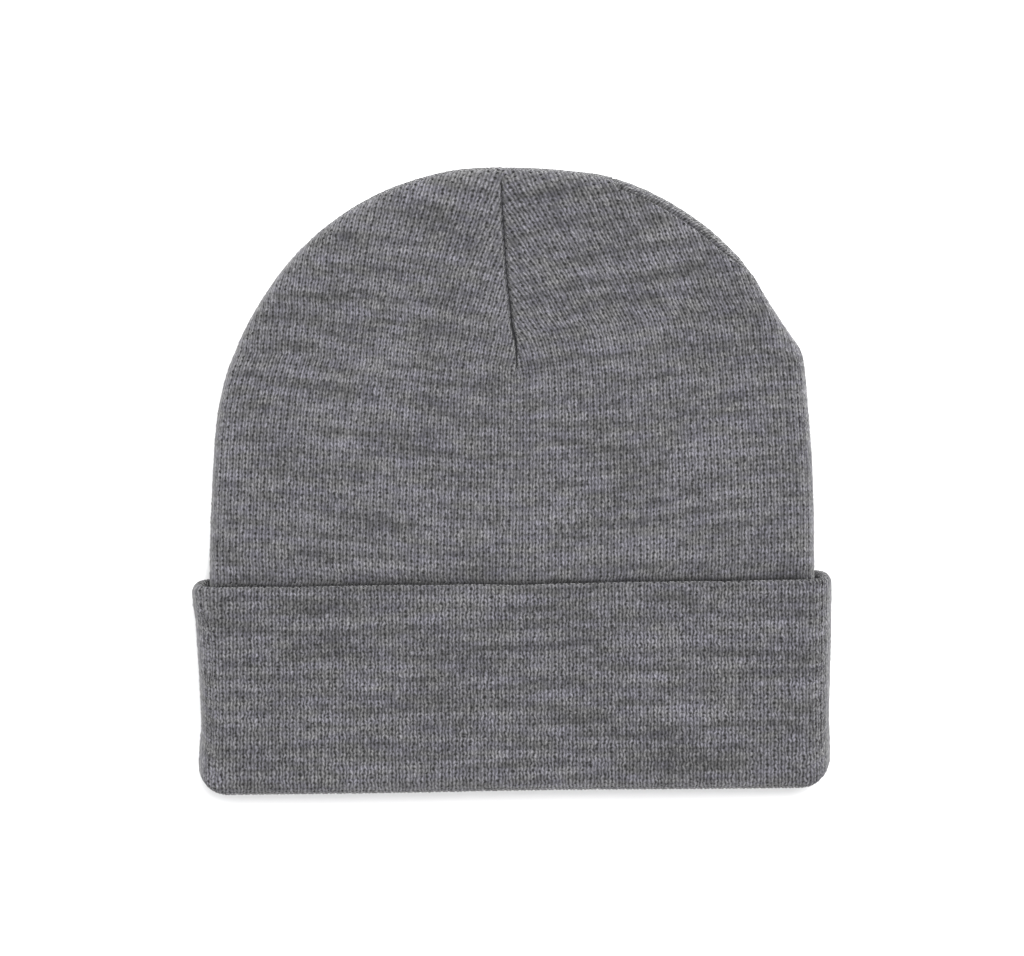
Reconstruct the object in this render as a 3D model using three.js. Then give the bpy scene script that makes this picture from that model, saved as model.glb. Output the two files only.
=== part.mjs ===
// Cuffed beanie in marled grey knit, lying flat on its back. All sizes are in millimetres.
// +X runs to the hat's right-hand side in the view from above, +Y from the mouth to the top
// of the crown, and +Z up from the table. The origin is on the table, under the middle.
import * as THREE from "three";

const { clamp, lerp, smoothstep } = THREE.MathUtils;

// Knit
const crownWall = 3.6; // two layers of knit
const cuffWall = 3.6; // two more layers, turned up outside the crown
const pieceGap = 0.4; // between pieces that touch on the real hat

// Crown, as it lies
const crownHalfHeight = 8.4; // half the thickness near its side folds
const crownEdge = 9.5; // how far the rounding of the side folds reaches in
const crownSwell = 2; // how much higher the middle of the front is
const swellReach = 75; // distance from the outline at which the front is at its highest
const droopLength = 34; // past the cuff, the back sinks to the table over this length
const pinchDepth = 0.9; // the front is pressed in along the cuff's rim
const pinchLength = 12;
const topX = -3.6; // the point where the four darts meet
const topY = 110.1;
const dimpleDepth = 1.3;
const dimpleRadius = 10;

// Outline of the crown from the mouth to the point where the darts meet
const crownOutline = [
  { up: -103, left: -105.9, right: 106.2 },
  { up: -72, left: -106.1, right: 106.2 },
  { up: -42, left: -106.4, right: 106.2 },
  { up: -28, left: -106.5, right: 106.1 },
  { up: -12, left: -106.1, right: 106.0 },
  { up: 6, left: -105.1, right: 105.4 },
  { up: 24, left: -103.5, right: 104.3 },
  { up: 38, left: -100.5, right: 103.2 },
  { up: 49, left: -96.4, right: 99.6 },
  { up: 63, left: -89.1, right: 90.5 },
  { up: 77, left: -79.2, right: 81.2 },
  { up: 88, left: -67.9, right: 70.3 },
  { up: 97, left: -55.4, right: 57.8 },
  { up: 103.5, left: -42.8, right: 45.0 },
  { up: 107.6, left: -29.8, right: 31.5 },
  { up: 109.4, left: -19.4, right: 16.5 },
  { up: 109.9, left: -11.5, right: 5.5 },
  { up: topY, left: topX, right: topX },
];

// Dart down the front, from the top of the crown to its lower end. The back one is alike.
const dartLine = [
  { up: -110, across: 0 },
  { up: 20, across: 1.8 },
  { up: 42, across: 1.9 },
  { up: 51, across: 1.2 },
  { up: 71, across: -1.6 },
  { up: 94, across: -4.8 },
  { up: topY, across: topX },
];
const frontDart = { end: 42, depth: 2.6, halfWidth: 13 };
const backDart = { end: 42, depth: 2.3, halfWidth: 11 };
const dartLead = 4; // a dart begins to sink in this far below its lower end
const dartRunOut = 20; // and is at its full depth this far above it
const dartFade = 8; // distance from the outline over which its depth fades out
const creaseDepth = 1.3; // sharp valley in which each seam lies
const creaseSlope = 0.45; // steepest side that the valley may have
const creaseRunIn = 3; // rows over which it reaches its depth
const backSeamEnd = 50; // the back's seam starts where its dart is deep enough to hold it
const sideSeamEnd = 45; // height at which the side darts end

// Cuff
const rimFront = { middle: -35.2, rise: 1.1 }; // rise: from the middle to the right-hand side
const rimBack = { middle: -33.2, rise: 1.9 };
const mouthEdge = { middle: -109.2, rise: 1.4 };
const cuffOutline = {
  rim: { left: -112.4, right: 112.4 },
  mouth: { left: -110.2, right: 111.2 },
};
const halfSpan = 112.4;
const mouthCorner = 8; // radius of the cuff's lower corners
const cornerSlack = 0.3; // share by which the crown's edge draws back further there
const rimCorner = 3;
const foldLength = 1.2; // from the round of the mouth fold to the crown's own edge
const foldRadius = (cuffWall + pieceGap + crownWall) / 2;
const mouthFold = foldRadius + foldLength;

// Seams
const seamWidth = 1.5;
const seamHeight = 1.2;
const seamFlankRise = 0.85;
const seamTopShare = 0.6; // width of its top against its full width
const seamTaperRows = 2;

// Colours
const knitGrey = 0x717174;
const seamGrey = 0x55555a;

// Mesh
const quarter = 18; // columns from a side fold to the middle of the front or back
const columns = 4 * quarter;
const crowding = 1.5; // over 1, columns stand closer near the darts
const outlineSteps = 6; // straight lines for each row of the outline's table
const rowsPerStep = 2; // rows of the crown's outside for each row of its table
const sideSeamColumn = 2; // columns from the side fold to the side dart
const cuffFaceRows = 5;
const foldArcSteps = 6;
const rimArcSteps = 5;

// Value of one column of a table at a height, straight between its rows
function tableValue(table, key, up) {
  const next = table.findIndex((row) => row.up > up);
  if (next < 0) return table[table.length - 1][key];
  if (next === 0) return table[0][key];
  const [below, above] = table.slice(next - 1, next + 1);
  return lerp(below[key], above[key], (up - below.up) / (above.up - below.up));
}

function outlineCurve(key) {
  const points = crownOutline.map((row) => new THREE.Vector3(row[key], row.up, 0));
  return new THREE.CatmullRomCurve3(points);
}

const outline = { left: outlineCurve("left"), right: outlineCurve("right") };

const outlineLines = Object.values(outline).flatMap((curve) => {
  const points = curve.getPoints(outlineSteps * crownOutline.length);
  return points.slice(1).map((point, i) => new THREE.Line3(points[i], point));
});

function outlineDistance(x, y) {
  const place = new THREE.Vector3(x, y, 0);
  const nearest = new THREE.Vector3();
  const distances = outlineLines.map((line) =>
    line.closestPointToPoint(place, true, nearest).distanceTo(place),
  );
  return Math.min(...distances);
}

// A column's place round a section: column 0 is the right-hand fold, and the front comes first
function columnPlace(column) {
  const turn = column / quarter;
  const share = Math.abs((turn % 2) - 1);
  return {
    right: turn < 1 || turn > 3,
    front: turn < 2,
    reach: Math.sin((Math.PI / 2) * share ** crowding),
  };
}

// Height share of a rounded fold, from 0 on the outline to 1 where the face is flat
function foldRound(distance, extent) {
  const share = clamp(distance / extent, 0, 1);
  return Math.sqrt(1 - (1 - share) ** 2);
}

function crownBase(y) {
  const lift = cuffWall + pieceGap;
  const start = rimBack.middle + rimBack.rise;
  return lift * (1 - smoothstep(y, start, start + droopLength));
}

function rimPinch(y) {
  const past = y - rimFront.middle;
  const share = Math.abs(past) / pinchLength;
  return past > 0 && share < 1 ? pinchDepth * Math.cos((Math.PI / 2) * share) ** 2 : 0;
}

function dartDip(dart, x, y) {
  const across = Math.abs(x - tableValue(dartLine, "across", y)) / dart.halfWidth;
  const sunk = smoothstep(y, dart.end - dartLead, dart.end + dartRunOut);
  return dart.depth * sunk * Math.max(0, 1 - across) ** 2;
}

// How far a rounded corner draws the edge back, at a distance in from the side outline
function cornerRise(radius, edgeDistance) {
  const inside = clamp(radius - edgeDistance, 0, radius);
  return radius - Math.sqrt(radius ** 2 - inside ** 2);
}

function mouthHeight(x) {
  return mouthEdge.middle + (mouthEdge.rise * x) / halfSpan;
}

// The four darts draw the top of the crown in where they meet
function topDimple(point) {
  const away = point.distanceTo(new THREE.Vector3(topX, topY, crownHalfHeight));
  return dimpleDepth * Math.max(0, 1 - away / dimpleRadius) ** 2;
}

// Point of the crown: step counts the outline's rows from the mouth, inset is 0 on the outside
function crownPoint(step, column, inset) {
  const { right, front, reach } = columnPlace(column);
  const along = step / (crownOutline.length - 1);
  const ends = ["left", "right"].map((key) => {
    const point = outline[key].getPoint(along);
    const tangent = outline[key].getTangent(along);
    const inward = new THREE.Vector3(tangent.y, -tangent.x, 0);
    return point.addScaledVector(inward, key === "left" ? inset : -inset);
  });
  const middleUp = (ends[0].y + ends[1].y) / 2;
  const edge = ends[right ? 1 : 0];
  const x = lerp(tableValue(dartLine, "across", middleUp), edge.x, reach);
  let y = lerp(middleUp, edge.y, reach);
  const toEdge = Math.abs(edge.x - x);
  const corner = cornerRise(mouthCorner, toEdge) * (1 + cornerSlack);
  const mouthRow = mouthHeight(x) + mouthFold + pieceGap + corner;
  y = lerp(mouthRow, y, smoothstep(step, 0, 2));
  const distance = Math.max(0, outlineDistance(x, y) - inset);
  const round = foldRound(distance, crownEdge - inset);
  const middle = crownBase(y) + crownHalfHeight;
  const half = (crownHalfHeight - inset) * round;
  const narrow = smoothstep(distance, 0, dartFade);
  const point = new THREE.Vector3(x, y, middle);
  if (front) {
    const swell = crownSwell * smoothstep(distance, 0, swellReach);
    point.z += half + swell - narrow * (dartDip(frontDart, x, y) + rimPinch(y));
  } else {
    point.z -= half - narrow * dartDip(backDart, x, y);
  }
  point.y -= topDimple(point);
  return point;
}

function ring(pointOf) {
  return Array.from({ length: columns }, (unused, column) => pointOf(column));
}

function crownRings(inset, stepSize) {
  const last = crownOutline.length - 1;
  const rings = [];
  for (let step = 0; step < last; step += stepSize) {
    rings.push(ring((column) => crownPoint(step, column, inset)));
  }
  const top = new THREE.Vector3(topX, topY - dimpleDepth - inset, crownHalfHeight);
  rings.push([top]);
  return rings;
}

// Closed surface through rings of points. A ring of one point closes an end.
function skin(rings, looped = false) {
  const position = [];
  const starts = [];
  for (const points of rings) {
    starts.push(position.length / 3);
    for (const point of points) position.push(point.x, point.y, point.z);
  }
  const index = [];
  const at = (row, i) => starts[row] + (i % rings[row].length);
  const spans = looped ? rings.length : rings.length - 1;
  for (let row = 0; row < spans; row++) {
    const next = (row + 1) % rings.length;
    const sides = Math.max(rings[row].length, rings[next].length);
    for (let i = 0; i < sides; i++) {
      if (rings[row].length > 1) index.push(at(row, i), at(next, i + 1), at(row, i + 1));
      if (rings[next].length > 1) index.push(at(row, i), at(next, i), at(next, i + 1));
    }
  }
  const geometry = new THREE.BufferGeometry();
  geometry.setAttribute("position", new THREE.Float32BufferAttribute(position, 3));
  geometry.setIndex(index);
  geometry.computeVertexNormals();
  return geometry;
}

// Outside of the crown, with a valley pressed in where each seam lies
const outerRings = crownRings(0, 1 / rowsPerStep);

function seamFrame(column, row) {
  const here = outerRings[row][column];
  const around = outerRings[row][(column + 1) % columns]
    .clone()
    .sub(outerRings[row][(column + columns - 1) % columns]);
  const along = outerRings[row + 1][column % outerRings[row + 1].length]
    .clone()
    .sub(outerRings[row - 1][column]);
  const outward = around.clone().cross(along).normalize().negate();
  const beside = along.clone().cross(outward).normalize();
  return { here, outward, beside, spacing: around.length() / 2 };
}

function seamRows(column, end) {
  const rows = [];
  for (let row = 1; row < outerRings.length - 2; row++) {
    if (outerRings[row][column].y > end) rows.push(row);
  }
  return rows;
}

function pressSeam(column, end) {
  const rows = seamRows(column, end);
  const frames = rows.map((row) => seamFrame(column, row));
  frames.forEach(({ here, outward, spacing }, i) => {
    const runIn = Math.min(1, (i + 1) / creaseRunIn);
    here.addScaledVector(outward, -runIn * Math.min(creaseDepth, creaseSlope * spacing));
  });
  return frames;
}

// Five-sided strand that lies in its valley, from the dart's lower end to the top
function seamGeometry(frames) {
  const half = seamWidth / 2;
  const section = [
    { beside: 0, up: 0 },
    { beside: half, up: seamFlankRise },
    { beside: half * seamTopShare, up: seamHeight },
    { beside: -half * seamTopShare, up: seamHeight },
    { beside: -half, up: seamFlankRise },
  ];
  const rings = frames.map(({ here, outward, beside }, i) => {
    const taper = Math.min(1, (i + 1) / seamTaperRows, (frames.length - i) / seamTaperRows);
    return section.map((corner) =>
      here
        .clone()
        .addScaledVector(outward, pieceGap + corner.up * taper)
        .addScaledVector(beside, corner.beside * taper),
    );
  });
  const middleOf = (points) =>
    points.reduce((sum, point) => sum.add(point), new THREE.Vector3()).divideScalar(points.length);
  return skin([[middleOf(rings[0])], ...rings, [middleOf(rings[rings.length - 1])]]);
}

const dartSeams = [
  { name: "front_dart_seam", column: quarter, end: frontDart.end },
  { name: "back_dart_seam", column: 3 * quarter, end: backSeamEnd },
  { name: "right_dart_seam", column: sideSeamColumn, end: sideSeamEnd },
  { name: "left_dart_seam", column: 2 * quarter + sideSeamColumn, end: sideSeamEnd },
].map((seam) => ({ ...seam, frames: pressSeam(seam.column, seam.end) }));

function crownGeometry() {
  const innerRings = crownRings(crownWall, 1).reverse();
  return skin([...innerRings, ...outerRings]);
}

// The cuff's section: out is the distance from the crown's outside, share runs from the mouth
// to the rim, and up is added to that height
const cuffOutside = cuffWall + pieceGap;
const rimRadius = cuffWall / 2;

function arcPoints(steps, pointAt) {
  return Array.from({ length: steps + 1 }, (unused, i) => pointAt((Math.PI * i) / steps));
}

function cuffSection() {
  const foldMiddle = (cuffOutside - crownWall) / 2;
  const rimMiddle = pieceGap + rimRadius;
  const mouthArc = arcPoints(foldArcSteps, (angle) => ({
    out: foldMiddle - foldRadius * Math.cos(angle),
    share: 0,
    up: foldRadius * (1 - Math.sin(angle)),
  }));
  const rimArc = arcPoints(rimArcSteps, (angle) => ({
    out: rimMiddle + rimRadius * Math.cos(angle),
    share: 1,
    up: rimRadius * (Math.sin(angle) - 1),
  }));
  const faceRows = Array.from({ length: cuffFaceRows - 1 }, (unused, i) => i + 1);
  const faceShares = faceRows.map((row) => row / cuffFaceRows);
  const outerFace = faceShares.map((share) => ({
    out: cuffOutside,
    share,
    up: lerp(foldRadius, -rimRadius, share),
  }));
  const innerFace = faceShares.toReversed().map((share) => ({
    out: pieceGap,
    share,
    up: lerp(mouthFold, -rimRadius, share),
  }));
  const footTop = [pieceGap, -crownWall].map((out) => ({ out, share: 0, up: mouthFold }));
  return [...mouthArc, ...outerFace, ...rimArc, ...innerFace, ...footTop];
}

function rimHeight(x, backShare) {
  const middle = lerp(rimFront.middle, rimBack.middle, backShare);
  const rise = lerp(rimFront.rise, rimBack.rise, backShare);
  return middle + (rise * x) / halfSpan;
}

function cuffPoint({ out, share, up }, column) {
  const { right, front, reach } = columnPlace(column);
  const key = right ? "right" : "left";
  const outerEdge = lerp(cuffOutline.mouth[key], cuffOutline.rim[key], share);
  const edge = outerEdge - Math.sign(outerEdge) * (cuffOutside - out);
  const x = edge * reach;
  const edgeDistance = Math.abs(edge - x);
  const round = foldRound(edgeDistance, crownEdge + out);
  const backShare = front ? (1 - round) / 2 : (1 + round) / 2;
  const mouth = mouthHeight(x) + cornerRise(mouthCorner, edgeDistance);
  const rim = rimHeight(x, backShare) - cornerRise(rimCorner, edgeDistance);
  const y = lerp(mouth, rim, share) + up;
  const half = (crownHalfHeight + out) * round;
  const middle = cuffOutside + crownHalfHeight;
  const swell = crownSwell * smoothstep(edgeDistance, 0, swellReach);
  return new THREE.Vector3(x, y, front ? middle + half + swell : middle - half);
}

function cuffGeometry() {
  const rings = cuffSection().map((corner) => ring((column) => cuffPoint(corner, column)));
  return skin(rings, true);
}

function knitMaterial(color) {
  return new THREE.MeshStandardMaterial({ color, roughness: 0.95, metalness: 0 });
}

function piece(name, geometry, color) {
  const mesh = new THREE.Mesh(geometry, knitMaterial(color));
  mesh.name = name;
  return mesh;
}

const beanie = new THREE.Group();
beanie.name = "cuffed_beanie";
beanie.add(piece("crown", crownGeometry(), knitGrey));
beanie.add(piece("cuff", cuffGeometry(), knitGrey));
for (const seam of dartSeams) {
  beanie.add(piece(seam.name, seamGeometry(seam.frames), seamGrey));
}

export default beanie;
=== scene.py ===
import math
import bpy
import numpy as np
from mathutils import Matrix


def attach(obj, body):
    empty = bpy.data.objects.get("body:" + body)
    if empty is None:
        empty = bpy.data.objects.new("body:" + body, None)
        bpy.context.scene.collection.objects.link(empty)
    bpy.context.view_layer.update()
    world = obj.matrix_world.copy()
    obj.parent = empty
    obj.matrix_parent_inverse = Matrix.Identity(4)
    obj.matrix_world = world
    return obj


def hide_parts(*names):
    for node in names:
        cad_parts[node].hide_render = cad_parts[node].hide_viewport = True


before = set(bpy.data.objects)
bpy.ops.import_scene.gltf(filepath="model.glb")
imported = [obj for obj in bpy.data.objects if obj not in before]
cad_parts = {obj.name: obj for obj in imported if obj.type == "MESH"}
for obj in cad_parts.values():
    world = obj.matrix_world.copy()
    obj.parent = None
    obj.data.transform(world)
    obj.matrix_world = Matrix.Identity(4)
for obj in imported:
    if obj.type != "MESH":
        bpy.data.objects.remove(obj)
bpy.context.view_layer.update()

mm = 0.001  # everything below is in millimetres until a mesh is made
print("frame loaded")

# the camera looks straight down on the hat
photo = {"lens": 240, "sensor": 36, "widthMm": 360.45, "plane": 12, "middle": (-0.2, 1.4)}
cameraData = bpy.data.cameras.new("camera")
cameraData.lens = photo["lens"]
cameraData.sensor_width = photo["sensor"]
cameraData.clip_end = 50
camera = bpy.data.objects.new("camera", cameraData)
bpy.context.scene.collection.objects.link(camera)
cameraHeight = photo["plane"] + photo["lens"] * photo["widthMm"] / photo["sensor"]
camera.location = (photo["middle"][0] * mm, photo["middle"][1] * mm, cameraHeight * mm)
bpy.context.scene.camera = camera
bpy.context.scene.view_settings.view_transform = "Standard"


def easeStep(value, low, high):
    t = np.clip((value - low) / (high - low), 0, 1)
    return t * t * (3 - 2 * t)


def ridge(distance, width):
    return np.exp(-((distance / width) ** 2))


def smoothLine(points, steps):
    # centripetal Catmull-Rom through the points
    p = np.array(points, float)
    p = np.vstack([2 * p[0] - p[1], p, 2 * p[-1] - p[-2]])
    line = []
    for i in range(1, len(p) - 2):
        a, b, c, d = p[i - 1 : i + 3]
        ab, bc, cd = [math.sqrt(math.dist(*ends)) for ends in ((a, b), (b, c), (c, d))]
        startPull = bc * ((b - a) / ab - (c - a) / (ab + bc) + (c - b) / bc)
        endPull = bc * ((c - b) / bc - (d - b) / (bc + cd) + (d - c) / cd)
        t = np.arange(steps)[:, None] / steps
        square = (3 * (c - b) - 2 * startPull - endPull) * t**2
        cube = (2 * (b - c) + startPull + endPull) * t**3
        line.append(b + startPull * t + square + cube)
    line.append(p[-2:-1])
    return np.vstack(line)


def arcLength(points):
    return np.concatenate([[0], np.cumsum(np.linalg.norm(np.diff(points, axis=0), axis=1))])


def pick(points, along, wanted):
    return np.stack([np.interp(wanted, along, points[:, i]) for i in range(points.shape[1])], axis=-1)


def pointNormals(points, faces):
    normals = np.zeros_like(points)
    for size in (3, 4):
        same = np.array([f for f in faces if len(f) == size])
        if not len(same):
            continue
        a, b = (same[:, 0], same[:, 2]) if size == 4 else (same[:, 0], same[:, 1])
        c, d = (same[:, 1], same[:, 3]) if size == 4 else (same[:, 0], same[:, 2])
        across = np.cross(points[b] - points[a], points[d] - points[c])
        for corner in range(size):
            np.add.at(normals, same[:, corner], across)
    return normals / np.maximum(np.linalg.norm(normals, axis=1, keepdims=True), 1e-9)


def makePiece(name, points, faces, cornerUvs, layers, material, node):
    mesh = bpy.data.meshes.new(name)
    mesh.from_pydata((np.asarray(points) * mm).tolist(), [], faces)
    for layerName, values in layers.items():
        painted = mesh.attributes.new(layerName, "FLOAT", "POINT")
        painted.data.foreach_set("value", np.asarray(values, np.float32))
    layer = mesh.uv_layers.new(name="knit")
    layer.data.foreach_set("uv", np.asarray(cornerUvs, np.float32).ravel())
    mesh.shade_smooth()
    mesh.materials.append(material)
    piece = bpy.data.objects.new(name, mesh)
    bpy.context.scene.collection.objects.link(piece)
    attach(piece, "root")
    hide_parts(node)
    triangles = sum(len(f) - 2 for f in faces)
    print(name, "made with", triangles, "triangles")
    return piece


# the fields of noise in the yarn: where each one starts along the courses, and its detail
noiseFields = {
    "streak": (0.0, 2.0),
    "fleck": (41.0, 1.0),
    "fibre": (83.0, 2.0),
    "tint": (29.0, 1.0),
    "slack": (61.0, 1.0),
    "waleStray": (17.0, 1.0),
    "courseStray": (7.0, 0.0),
}


# the knit is drawn from the stitch grid: u counts wales, v counts courses
def knitFinish(name, look):
    material = bpy.data.materials.new(name)
    material.use_nodes = True
    nodes, links = material.node_tree.nodes, material.node_tree.links
    shader = nodes["Principled BSDF"]

    def calc(operation, *values, clamp=False):
        box = nodes.new("ShaderNodeMath")
        box.operation = operation
        box.use_clamp = clamp
        for socket, value in zip(box.inputs, values):
            if isinstance(value, (int, float)):
                socket.default_value = value
            else:
                links.new(value, socket)
        return box.outputs[0]

    def vector(x, y, z):
        box = nodes.new("ShaderNodeCombineXYZ")
        for socket, value in zip(box.inputs, (x, y, z)):
            if isinstance(value, (int, float)):
                socket.default_value = value
            else:
                links.new(value, socket)
        return box.outputs[0]

    def noise(place, detail):
        box = nodes.new("ShaderNodeTexNoise")
        box.inputs["Scale"].default_value = 1
        box.inputs["Detail"].default_value = detail
        links.new(place, box.inputs["Vector"])
        return calc("SUBTRACT", box.outputs[0], 0.5)

    def cell(x, y):
        box = nodes.new("ShaderNodeTexWhiteNoise")
        box.noise_dimensions = "2D"
        links.new(vector(x, y, 0.0), box.inputs["Vector"])
        return calc("SUBTRACT", box.outputs["Value"], 0.5)

    def mix(amount, first, second):
        box = nodes.new("ShaderNodeMix")
        box.data_type = "RGBA"
        links.new(amount, box.inputs[0])
        for socket, value in zip((box.inputs[6], box.inputs[7]), (first, second)):
            if isinstance(value, tuple):
                socket.default_value = (*value, 1)
            else:
                links.new(value, socket)
        return box.outputs[2]

    def bell(distance, width):
        share = calc("DIVIDE", distance, width)
        return calc("EXPONENT", calc("MULTIPLY", calc("MULTIPLY", share, share), -1.0))

    grid = nodes.new("ShaderNodeUVMap")
    grid.uv_map = "knit"
    split = nodes.new("ShaderNodeSeparateXYZ")
    links.new(grid.outputs[0], split.inputs[0])
    wale, course = split.outputs[0], split.outputs[1]

    # the ring of wales is wound up in a circle, so the heather has no start or end
    turn = calc("MULTIPLY", wale, 2 * math.pi / look["wales"])
    radius = look["wales"] / (2 * math.pi)
    ringX = calc("MULTIPLY", calc("COSINE", turn), radius)
    ringY = calc("MULTIPLY", calc("SINE", turn), radius)

    def ringPlace(waleScale, courseScale, shift):
        parts = (calc("MULTIPLY", ringX, waleScale), calc("MULTIPLY", ringY, waleScale))
        return vector(*parts, calc("MULTIPLY_ADD", course, courseScale, shift))

    streaks, flecks, fibres, tints, slack, waleStray, courseStray = (
        noise(ringPlace(*look[field], start), detail) for field, (start, detail) in noiseFields.items()
    )

    # no stitch sits quite in its place
    waleShift = calc("MULTIPLY_ADD", waleStray, look["wobble"], wale)
    courseShift = calc("MULTIPLY_ADD", courseStray, look["wobble"], course)
    acrossStitch = calc("FRACT", waleShift)
    upStitch = calc("FRACT", courseShift)
    fromMiddle = calc("ABSOLUTE", calc("SUBTRACT", acrossStitch, 0.5))
    fromValley = calc("SUBTRACT", 0.5, fromMiddle)
    nearWale = calc("FLOOR", calc("ADD", waleShift, 0.5))
    nearCourse = calc("FLOOR", calc("ADD", courseShift, 0.5))
    sideCell = cell(calc("ADD", nearWale, 300.5), nearCourse)
    riseCell = cell(calc("ADD", nearWale, 700.5), nearCourse)
    dotAcross = calc("MULTIPLY_ADD", sideCell, look["jitter"], calc("SUBTRACT", waleShift, nearWale))
    dotUp = calc("MULTIPLY_ADD", riseCell, look["jitter"], calc("SUBTRACT", courseShift, nearCourse))

    # each wale has two legs that lean apart upwards, a line between them, and a dot
    # beside each course where the legs of two wales part
    lean = calc("MULTIPLY", calc("SUBTRACT", upStitch, 0.5), look["legLean"])
    legPlace = calc("ADD", lean, look["legPlace"])
    legCell = cell(calc("FLOOR", calc("MULTIPLY", waleShift, 2.0)), calc("FLOOR", courseShift))
    leg = bell(calc("SUBTRACT", fromMiddle, legPlace), look["legWidth"])
    bow = calc("SINE", calc("MULTIPLY", upStitch, math.pi))
    legSize = calc("MULTIPLY_ADD", legCell, look["legChance"], 1.0)
    leg = calc("MULTIPLY", calc("MULTIPLY", leg, calc("MULTIPLY_ADD", bow, *look["arch"])), legSize)
    dotSize = calc("MULTIPLY_ADD", cell(nearWale, nearCourse), look["dotChance"], 1.0)
    dot = calc("MULTIPLY", bell(dotAcross, look["dotWidth"]), bell(dotUp, look["dotHeight"]))
    dot = calc("MULTIPLY", dot, dotSize)
    valley = bell(fromValley, look["valleyWidth"])
    groove = bell(fromMiddle, look["grooveWidth"])
    grooveRun = calc("FLOOR", calc("MULTIPLY", courseShift, look["grooveRun"]))
    grooveCell = cell(calc("FLOOR", waleShift), grooveRun)
    grooveSize = calc("MULTIPLY_ADD", slack, look["grooveChance"], calc("ADD", grooveCell, 1.0))
    groove = calc("MULTIPLY", groove, grooveSize)

    fold = nodes.new("ShaderNodeAttribute")
    fold.attribute_name = "fold"
    height = calc("MULTIPLY_ADD", bow, look["bowBump"], leg)
    height = calc("MULTIPLY_ADD", dot, -look["dotBump"], height)
    height = calc("MULTIPLY_ADD", groove, -look["grooveBump"], height)
    height = calc("MULTIPLY", height, calc("MULTIPLY_ADD", fold.outputs["Fac"], -look["foldFlat"], 1.0))
    height = calc("MULTIPLY_ADD", fibres, look["fibreBump"], height)
    bump = nodes.new("ShaderNodeBump")
    bump.inputs["Strength"].default_value = look["bump"]
    bump.inputs["Distance"].default_value = look["bumpDepth"] * mm
    links.new(height, bump.inputs["Height"])
    links.new(bump.outputs[0], shader.inputs["Normal"])

    heather = calc("MULTIPLY_ADD", streaks, look["streakTone"], 0.5)
    heather = calc("MULTIPLY_ADD", flecks, look["fleckTone"], heather)
    heather = calc("MULTIPLY_ADD", legCell, look["cellTone"], heather, clamp=True)
    yarn = mix(heather, look["dark"], look["light"])
    tintMix = calc("MULTIPLY_ADD", streaks, look["streakTint"], 0.5)
    tintMix = calc("MULTIPLY_ADD", tints, look["tintSpread"], tintMix, clamp=True)
    tint = mix(tintMix, look["olive"], look["lilac"])
    # painted light and shade of the stitches: the legs are drawn lighter and the dots, valleys and
    # grooves between them darker, as light falls on the knit's relief; the fibres add the yarn's own
    # flecks
    tone = calc("MULTIPLY", leg, look["legHighlight"])
    tone = calc("MULTIPLY_ADD", dot, -look["dotShade"], tone)
    tone = calc("MULTIPLY_ADD", valley, -look["valleyShade"], tone)
    tone = calc("MULTIPLY_ADD", groove, -look["grooveShade"], tone)
    # along the side folds the painted stitch shade is weaker, and a painted sheen highlight makes the
    # knit lighter
    tone = calc("MULTIPLY", tone, calc("MULTIPLY_ADD", fold.outputs["Fac"], -look["foldPlain"], 1.0))
    tone = calc("MULTIPLY_ADD", fold.outputs["Fac"], look["foldHighlight"], tone)
    tone = calc("MULTIPLY_ADD", fibres, look["fibreTone"], calc("ADD", tone, look["baseTone"]))
    tone = calc("MAXIMUM", tone, look["leastTone"])
    # painted shade stored on the mesh: the rim's contact shadow, the shade in the seam ditches and on the
    # cuff's turned rows darken the colour
    paintedShade = nodes.new("ShaderNodeAttribute")
    paintedShade.attribute_name = "paintedShade"
    tone = calc("MULTIPLY", tone, calc("SUBTRACT", 1.0, paintedShade.outputs["Fac"]))
    tinted = nodes.new("ShaderNodeVectorMath")
    tinted.operation = "MULTIPLY"
    links.new(yarn, tinted.inputs[0])
    links.new(tint, tinted.inputs[1])
    scaled = nodes.new("ShaderNodeVectorMath")
    scaled.operation = "SCALE"
    links.new(tinted.outputs[0], scaled.inputs[0])
    links.new(tone, scaled.inputs["Scale"])
    links.new(scaled.outputs[0], shader.inputs["Base Color"])
    links.new(calc("MULTIPLY_ADD", leg, *look["roughness"]), shader.inputs["Roughness"])
    shader.inputs["Sheen Weight"].default_value = look["sheen"]
    shader.inputs["Sheen Roughness"].default_value = look["sheenRoughness"]
    shader.inputs["Specular IOR Level"].default_value = look["gloss"]
    return material


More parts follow.
